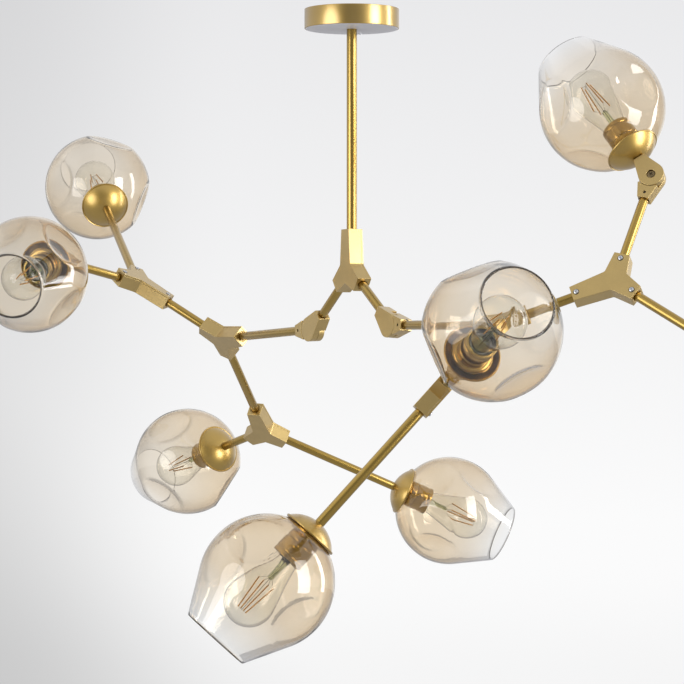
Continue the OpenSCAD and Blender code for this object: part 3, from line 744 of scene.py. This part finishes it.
class CHANDELIER_OT_knuckles(bpy.types.Operator):
    """Make the half-lap friction knuckles with their pivot and set screws"""
    bl_idname = "chandelier.knuckles"
    bl_label = "Friction knuckles"

    def execute(self, context):
        s, look = context.scene.chandelier_metal, finishes(context.scene)
        bronze = plain_metal("pivot_bronze", (0.2, 0.15, 0.08), 0.35)
        half = KNUCKLE_T / 2
        for name, (frame, bend, side, head, length) in KNUCKLES.items():
            swung = frame @ turn("Z", bend + 180)
            for kind, place, long, at in (("fixed", frame, KNUCKLE_LEN, side),
                                          ("swing", swung, length, -side)):
                node = "knuckle_%s_%s" % (name, kind)
                bm, out = knuckle_half(place, long, at, at == head)
                if long == LAMP_KNUCKLE_LEN:
                    lathe(bm, place, ((-long - STEM_IN, 0), (-long - STEM_IN, ROD_D / 2),
                                      (-long + 2, ROD_D / 2), (-long + 2, 0)), 48, closed=False)
                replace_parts(piece("half_" + node, bm, look.cast, BODY_OF[node], 28,
                                  s.edge / MM), node)
                if at == head:
                    bm = bmesh.new()
                    cross_head(bm, out @ along(half - PIVOT_HEAD_H + PIVOT_BASE) @ turn("X", 25),
                               PIVOT_HEAD_R - 0.1, PIVOT_HEAD_H - HEAD_SUNK - PIVOT_BASE, 0.8)
                    piece("pivot_screw_" + name, bm, bronze, BODY_OF[node])
                # The sunk grub screw is painted near black as painted shade, so its hole reads
                # dark
                if at < 0 and long == KNUCKLE_LEN:
                    bm = bmesh.new()
                    disc(bm, set_screw_seat(place), SET_SCREW_R, half - SET_SCREW_DEPTH,
                         half - SET_SCREW_SUNK, 24)
                    piece("set_screw_" + name, bm, look.painted_shade, BODY_OF[node])
        return {"FINISHED"}


def gallery_profile():
    """Side view of the domed gallery with its rolled edge, as a closed outline."""
    inner_r = DOME_R - GALLERY_WALL + 0.05
    first = math.degrees(math.asin((ROD_D / 2 + FIT) / DOME_R))
    last = math.degrees(math.acos((DOME_R - GALLERY_H + BEAD_R) / DOME_R)) - 1.5
    sweep = [math.radians(first + (last - first) * k / 18) for k in range(19)]
    dome = [(DOME_R - DOME_R * math.cos(a), DOME_R * math.sin(a)) for a in sweep]
    bowl = [(DOME_R - inner_r * math.cos(a), inner_r * math.sin(a)) for a in sweep]
    x, r = GALLERY_H - BEAD_R, GALLERY_D / 2 - BEAD_R
    bead = [(x - BEAD_R * math.sin(math.radians(a)), r + BEAD_R * math.cos(math.radians(a)))
            for a in range(60, -181, -20)]
    return dome + bead + bowl[::-1]


def cup_profile():
    """Side view of the lampholder: nut, flange, neck, cup with two grooves, and its bore."""
    bore, neck, after = ROD_D / 2 + FIT, HOLE_R - SEAT, RING_X + RING_H
    return rounded((
        (2.9, bore), (2.9, 9.75), (FLANGE_X - 4, 11.75), (FLANGE_X - 3, HOLE_R + LIP_W),
        (FLANGE_X, HOLE_R + LIP_W), (FLANGE_X, neck), (after + SEAT, neck),
        (after + 2.2, HOLDER_R), (31.5, HOLDER_R), (32, HOLDER_R - 0.7), (33, HOLDER_R - 0.7),
        (33.5, HOLDER_R), (48, HOLDER_R), (48.5, HOLDER_R - 0.6), (49.5, HOLDER_R - 0.6),
        (50, HOLDER_R), (HOLDER_LEN, HOLDER_R), (HOLDER_LEN, 15.5), (45, 15.5), (43, 13.45),
        (21.85, 13.45), (21.85, 4.35), (9.15, 4.35), (9.15, bore)), 0.5)


def shade_ring_profile():
    """Side view of the ring that clamps the shade, crowned towards the mouth."""
    low = 1.6
    crown = [(RING_X + low + (RING_H - low) * math.sin(math.radians(a)),
              HOLDER_R + 0.6 + (RING_R - 1.2 - HOLDER_R) * math.cos(math.radians(a)))
             for a in range(0, 91, 15)]
    return [(RING_X, HOLE_R), (RING_X, RING_R - 0.3), (RING_X + 0.3, RING_R),
            (RING_X + 1.0, RING_R), (RING_X + 1.2, RING_R - 0.5), *crown,
            (RING_X + RING_H, HOLE_R)]


class CHANDELIER_OT_galleries(bpy.types.Operator):
    """Spin the domed galleries and turn the lampholders with their shade rings"""
    bl_idname = "chandelier.galleries"
    bl_label = "Galleries and lampholders"

    def execute(self, context):
        s, look = context.scene.chandelier_metal, finishes(context.scene)
        spun = brass("spun_brass", shade_of(s.drawn, 1.1), s.spun_rough, 500.0, 0.05, 0.0)
        polished = brass("polished_brass", s.drawn, s.holder_rough, 400.0, 0.03, 0.0)
        dome, cup, clamp = gallery_profile(), cup_profile(), shade_ring_profile()
        # A near-black sleeve inside the mouth of the cup, round the bulb cap: painted shade of
        # the socket
        socket_shade_sleeve = rounded(((45.2, 13.6), (45.2, 15.4), (54.2, 15.4), (54.2, 14.2), (48.6, 13.6)),
                        0.3)
        for i, frame in enumerate(LAMPS, 1):
            body = BODY_OF["gallery_%d" % i]
            bm = bmesh.new()
            lathe(bm, frame, dome, 128)
            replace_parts(piece("gallery_spun_%d" % i, bm, spun, body, 50),
                        "gallery_%d" % i)
            bm = bmesh.new()
            lathe(bm, frame, cup, 96)
            lathe(bm, frame, clamp, 96)
            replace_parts(piece("holder_turned_%d" % i, bm, polished, body, 50),
                        "holder_%d" % i)
            bm = bmesh.new()
            lathe(bm, frame, socket_shade_sleeve, 64)
            piece("holder_liner_%d" % i, bm, look.painted_shade, body, 50)
            bm = bmesh.new()
            view = frame.inverted().to_3x3() @ Vector((0, -1, 0.2))
            around = math.degrees(math.atan2(-view.y, view.z))
            around += 0 if i in SCREWS_IN_VIEW else 180
            cross_head(bm, frame @ turn("X", around) @ along(HOLDER_SCREW_X)
                       @ up(HOLDER_R - 0.2) @ turn("Y", -90), HOLDER_SCREW_R, HOLDER_SCREW_H)
            piece("holder_screw_%d" % i, bm, polished, body)
        return {"FINISHED"}


def glass_reach(angle, radius, mouth_r):
    """Distance from the shade's middle to its undented wall, angle off the axis."""
    end = touch(MOUTH_REACH, mouth_r, radius)
    if angle >= math.radians(end):
        return radius
    a = polar(radius, end)
    d = Vector((MOUTH_REACH, mouth_r)) - a
    return (a.x * d.y - a.y * d.x) / (math.cos(angle) * d.y - math.sin(angle) * d.x)


def soft_min(a, b, k):
    """The smaller of two lengths, blended where they differ by less than k."""
    h = max(0.0, min(1.0, 0.5 + 0.5 * (b - a) / k))
    return b + (a - b) * h - k * h * (1 - h)


def dented(direction, reach, dents, grow, soft):
    """Brings a point of the wall in to where the balls press, grow outwards from them."""
    far, tool = SHADE_R + TOOL_R - DENT_DEPTH, TOOL_R + grow
    for d in dents:
        near = far * direction.dot(d)
        under = near * near - far * far + tool * tool
        if under > 0 and near > 0:
            reach = soft_min(reach, near - math.sqrt(under), soft)
    return reach


def blown_shade(bm, frame, turned, soft, rows=72, steps=180):
    """Outer and inner wall of a shade, joined round its hole and by a rounded mouth."""
    middle = frame @ along(SHADE_C)
    dents = []
    for k, rise in enumerate(DENT_RISE):
        t, e = math.radians(turned + 90 * k), math.radians(rise)
        dents.append(Vector((math.sin(e), math.cos(e) * math.sin(t), -math.cos(e) * math.cos(t))))
    rings = []
    for radius, mouth_r, hole, grow in ((SHADE_R, MOUTH_R, HOLE_R + LIP_W, 0),
                                        (SHADE_R - GLASS_T, MOUTH_R - GLASS_T, HOLE_R, GLASS_T)):
        first = math.pi - math.asin(hole / radius)
        last = math.atan2(mouth_r, MOUTH_REACH)
        wall = []
        for i in range(rows + 1):
            a = first + (last - first) * i / rows
            base = glass_reach(a, radius, mouth_r)
            loop = []
            for k in range(steps):
                t = 2 * math.pi * k / steps
                d = Vector((math.cos(a), math.sin(a) * math.cos(t), math.sin(a) * math.sin(t)))
                loop.append(bm.verts.new(middle @ (d * dented(d, base, dents, grow, soft) * MM)))
            wall.append(loop)
        rings += wall if grow == 0 else [None] + wall[::-1]
    gap = rings.index(None)
    ahead = (frame.to_3x3() @ Vector((1, 0, 0))) * 0.35 * MM
    rings[gap] = [bm.verts.new((p.co + q.co) / 2 + ahead)
                  for p, q in zip(rings[gap - 1], rings[gap + 1])]
    ring_faces(bm, rings, closed=True)


class CHANDELIER_OT_shades(bpy.types.Operator):
    """Blow the glass shades with their pressed dents"""
    bl_idname = "chandelier.shades"
    bl_label = "Glass shades"

    def execute(self, context):
        s = context.scene.chandelier_glass
        glass = tinted_glass("champagne_glass", tuple(s.deep), tuple(s.pale), tuple(s.on_edge))
        edge = mouth_rim_shade("mouth_rim_shade", tuple(s.rim))
        for i, frame in enumerate(LAMPS, 1):
            body = BODY_OF["shade_%d" % i]
            bm = bmesh.new()
            blown_shade(bm, frame, SHADE_TURN[i - 1], s.soften / MM)
            obj = piece("blown_shade_%d" % i, bm, glass, body, 60)
            tone = obj.data.attributes.new("tone", "FLOAT", "POINT")
            back = frame.inverted()
            for v, item in zip(obj.data.vertices, tone.data):
                item.value = min(1.0, max(0.0, ((back @ v.co).x / MM - TONE_START) / TONE_LENGTH))
            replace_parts(obj, "shade_%d" % i)
            # A thin ring at the mouth: the glass edge is real, its dark brown is painted shade
            # for the edge seen end on
            bm = bmesh.new()
            x, r = SHADE_C + MOUTH_REACH + 0.5, MOUTH_R - GLASS_T / 2
            lathe(bm, frame, [(x + 0.3 * math.cos(math.radians(a)),
                               r + 0.6 * math.sin(math.radians(a)))
                              for a in range(0, 360, 40)], 128)
            piece("mouth_dark_rim_%d" % i, bm, edge, body, 60)
        return {"FINISHED"}


def bulb_profile(radius, neck, start):
    """Side view of a pear bulb, from its neck to its tip."""
    end = touch(start - BULB_X, neck, radius)
    tip = polar(radius, end)
    tip.x += BULB_X
    lead = Vector((math.sin(math.radians(end)), -math.cos(math.radians(end))))
    a, b, c, d = Vector((start, neck)), Vector((start + 13, neck)), tip - lead * 13, tip
    points = []
    for t in (k / 14 for k in range(14)):
        points.append(tuple(a * (1 - t) ** 3 + b * 3 * t * (1 - t) ** 2
                            + c * 3 * t * t * (1 - t) + d * t ** 3))
    for k in range(29):
        p = polar(radius, end * (1 - k / 28))
        points.append((BULB_X + p.x, max(0.0, p.y)))
    points[-1] = (BULB_X + radius, 0.0)
    return points


def cap_profile():
    """Side view of the bulb's screw cap with its rolled thread."""
    cap = [(CAP_X, 0), (CAP_X, 5), (CAP_X + 2, 8)]
    for k in range(6):
        x = CAP_X + 4 + 3.4 * k
        cap += [(x, CAP_R - 0.9), (x + 1.1, CAP_R), (x + 2.2, CAP_R)]
    return cap + [(CAP_X + CAP_LEN, CAP_R), (CAP_X + CAP_LEN, 0)]


def filaments(frame, neck):
    """Four slanted filaments in a ring, and the wires that hold them."""
    hot, wires = bmesh.new(), bmesh.new()
    foot, crown = Vector((neck + 33, 0, 0)), Vector((FILAMENT_HIGH, 0, 0))
    stick(wires, frame, Vector((neck + 1, 0, 0)), crown, 0.35)
    for k in range(4):
        t = math.radians(20 + 90 * k)
        out = Vector((0, math.cos(t), math.sin(t)))
        low, high = Vector((FILAMENT_LOW, 0, 0)) + out * 11, crown + out * 6
        stick(hot, frame, low, high, 0.8)
        stick(wires, frame, foot + out * 2, low, 0.25)
        stick(wires, frame, high, crown + Vector((0.5, 0, 0)), 0.25)
    return hot, wires


class CHANDELIER_OT_bulbs(bpy.types.Operator):
    """Make the clear filament bulbs"""
    bl_idname = "chandelier.bulbs"
    bl_label = "Filament bulbs"

    def execute(self, context):
        s = context.scene.chandelier_glass
        clear = clear_glass("bulb_glass", tuple(s.bulb), 1.3)
        stem_glass = clear_glass("stem_glass", (0.74, 0.8, 0.56), 1.25)
        amber = filament_paint("filament_amber", tuple(s.filament))
        nickel = plain_metal("bulb_nickel", (0.45, 0.43, 0.37), 0.3)
        neck = CAP_X + CAP_LEN + SEAT
        glass = bulb_profile(BULB_R, CAP_R, neck) \
            + bulb_profile(BULB_R - BULB_GLASS, CAP_R - BULB_GLASS, neck)[::-1]
        cap, stem = cap_profile(), [(neck + x, r) for x, r in STEM]
        for i, frame in enumerate(LAMPS, 1):
            body = BODY_OF["bulb_%d" % i]
            bm = bmesh.new()
            lathe(bm, frame, glass, 80)
            bmesh.ops.remove_doubles(bm, verts=bm.verts, dist=1e-7)
            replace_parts(piece("bulb_envelope_%d" % i, bm, clear, body, 60),
                        "bulb_%d" % i)
            bm = bmesh.new()
            lathe(bm, frame, cap, 48, closed=False)
            piece("bulb_cap_%d" % i, bm, nickel, body, 50)
            bm = bmesh.new()
            lathe(bm, frame, stem, 40, closed=False)
            piece("bulb_stem_%d" % i, bm, stem_glass, body, 40)
            hot, wires = filaments(frame, neck)
            piece("bulb_filaments_%d" % i, hot, amber, body)
            piece("bulb_wires_%d" % i, wires, nickel, body)
        return {"FINISHED"}


# --- Stage -------------------------------------------------------------------------

# metres and degrees; lens and sensor in millimetres
CEILING_HEIGHT, FLOOR_R = 3.0, 20.0
CAMERA_AT, CAMERA_TILT, LENS, SENSOR = (-0.0124, -4.2, -0.5206), 1.352, 175.07, 36
LIGHTS_AIM, LIGHT_SPREAD = Vector((0, 0, -0.45)), 95


def soft_light(name, azimuth, height, distance, size, power, shape="RECTANGLE"):
    """A soft light, azimuth in degrees to the right of the camera, aimed at the lamps."""
    data = bpy.data.lights.new(name, "AREA")
    data.shape = shape
    data.size, data.size_y = size
    data.energy = power
    data.spread = math.radians(LIGHT_SPREAD)
    obj = bpy.data.objects.new(name, data)
    a = math.radians(azimuth)
    place = Vector((distance * math.sin(a), -distance * math.cos(a), height))
    obj.location = place
    obj.rotation_euler = (LIGHTS_AIM - place).to_track_quat("-Z", "Y").to_euler()
    bpy.context.scene.collection.objects.link(obj)


# direction, where a change starts and ends along it, and the levels before and after
BACKDROP_ZONES = (
    ((0, 1, 0), 0.75, 0.96, 0.85, 1.0),
    ((0, 1, 0), -0.76, -0.95, 1.0, 0.5),
    ((1, 0, 0), -0.11, -0.03, 0.83, 1.0),
    ((1, 0, 0), -0.75, -0.35, 1.6, 1.0),
    ((-1, 0, -1), 0.075, 0.18, 1.0, 0.78),
    ((0, 0, 1), -0.08, -0.04, 0.95, 1.0),
    ((0, 0, 1), 0.25, 0.7, 1.0, 1.25),
)


def backdrop(above, below):
    """A pale room, brightest straight ahead and softer at its sides and behind the camera."""
    world = bpy.data.worlds.new("room")
    bpy.context.scene.world = world
    w = Wiring(world, "ShaderNodeBackground", "ShaderNodeOutputWorld")
    toward = w.add("ShaderNodeTexCoord").outputs["Generated"]

    def change(way, start, end, low, high, kind):
        dot = w.add("ShaderNodeVectorMath", operation="DOT_PRODUCT")
        dot.inputs[1].default_value = way
        w.link(toward, dot.inputs[0])
        step = w.add("ShaderNodeMapRange", interpolation_type=kind, From_Min=start,
                     From_Max=end, To_Min=low, To_Max=high)
        w.link(dot.outputs["Value"], step.inputs["Value"])
        return step.outputs["Result"]

    fade = w.add("ShaderNodeMix", data_type="RGBA")
    fade.inputs[MIX_A].default_value = (*below, 1)
    fade.inputs[MIX_B].default_value = (*above, 1)
    w.link(change((0, 0, 1), -0.03, 0.125, 0.0, 1.0, "LINEAR"), fade.inputs[0])
    w.link(fade.outputs[MIX_OUT], w.shader.inputs["Color"])
    level = 1.0
    for zone in BACKDROP_ZONES:
        level = w.calc("MULTIPLY", level, change(*zone, "SMOOTHSTEP"))
    w.link(level, w.shader.inputs["Strength"])


class CHANDELIER_OT_stage(bpy.types.Operator):
    """Set the camera, the pale floor, the backdrop and the soft lights"""
    bl_idname = "chandelier.stage"
    bl_label = "Stage"

    def execute(self, context):
        scene = context.scene
        s = scene.chandelier_stage
        scene.view_settings.view_transform = "Standard"
        cam = bpy.data.cameras.new("view_camera")
        cam.lens = LENS
        cam.sensor_width = SENSOR
        cam.clip_end = 60
        obj = bpy.data.objects.new("view_camera", cam)
        obj.location = CAMERA_AT
        obj.rotation_euler = (math.radians(90 + CAMERA_TILT), 0, 0)
        scene.collection.objects.link(obj)
        scene.camera = obj
        bm = bmesh.new()
        bm.faces.new([bm.verts.new((*polar(FLOOR_R, a), -CEILING_HEIGHT))
                      for a in range(0, 360, 5)])
        mesh = bpy.data.meshes.new("floor")
        bm.to_mesh(mesh)
        bm.free()
        floor = bpy.data.objects.new("floor", mesh)
        scene.collection.objects.link(floor)
        mesh.materials.append(paint("floor_paint", s.floor, 0.8))
        backdrop(s.above, s.below)
        soft_light("right_window", 58, -0.25, 2.9, (1.2, 2.4), s.right)
        soft_light("right_strip", 102, -0.1, 2.8, (0.45, 2.4), s.strip)
        soft_light("left_umbrella", -52, -0.4, 3.0, (2.3, 2.3), s.left, "ELLIPSE")
        return {"FINISHED"}


class CHANDELIER_PT_panel(bpy.types.Panel):
    bl_label = "Branching chandelier"
    bl_idname = "CHANDELIER_PT_panel"
    bl_space_type = "VIEW_3D"
    bl_region_type = "UI"
    bl_category = "Chandelier"

    def draw(self, context):
        for group in ("chandelier_metal", "chandelier_glass", "chandelier_stage"):
            box = self.layout.box()
            for key in getattr(context.scene, group).__annotations__:
                box.prop(getattr(context.scene, group), key)
        for step in STEPS:
            self.layout.operator(step.bl_idname)


STEPS = (CHANDELIER_OT_stage, CHANDELIER_OT_canopy, CHANDELIER_OT_tubes, CHANDELIER_OT_hubs,
         CHANDELIER_OT_knuckles, CHANDELIER_OT_galleries, CHANDELIER_OT_shades,
         CHANDELIER_OT_bulbs)
GROUPS = {"chandelier_metal": ChandelierMetal, "chandelier_glass": ChandelierGlass,
          "chandelier_stage": ChandelierStage}


def register():
    for cls in (*GROUPS.values(), *STEPS, CHANDELIER_PT_panel):
        bpy.utils.register_class(cls)
    for name, cls in GROUPS.items():
        setattr(bpy.types.Scene, name, bpy.props.PointerProperty(type=cls))


def unregister():
    for name in GROUPS:
        delattr(bpy.types.Scene, name)
    for cls in reversed((*GROUPS.values(), *STEPS, CHANDELIER_PT_panel)):
        bpy.utils.unregister_class(cls)


def main():
    register()
    bpy.ops.chandelier.stage()
    bpy.ops.chandelier.canopy()
    bpy.ops.chandelier.tubes()
    bpy.ops.chandelier.hubs()
    bpy.ops.chandelier.knuckles()
    bpy.ops.chandelier.galleries()
    bpy.ops.chandelier.shades()
    bpy.ops.chandelier.bulbs()


if __name__ == "__main__":
    main()
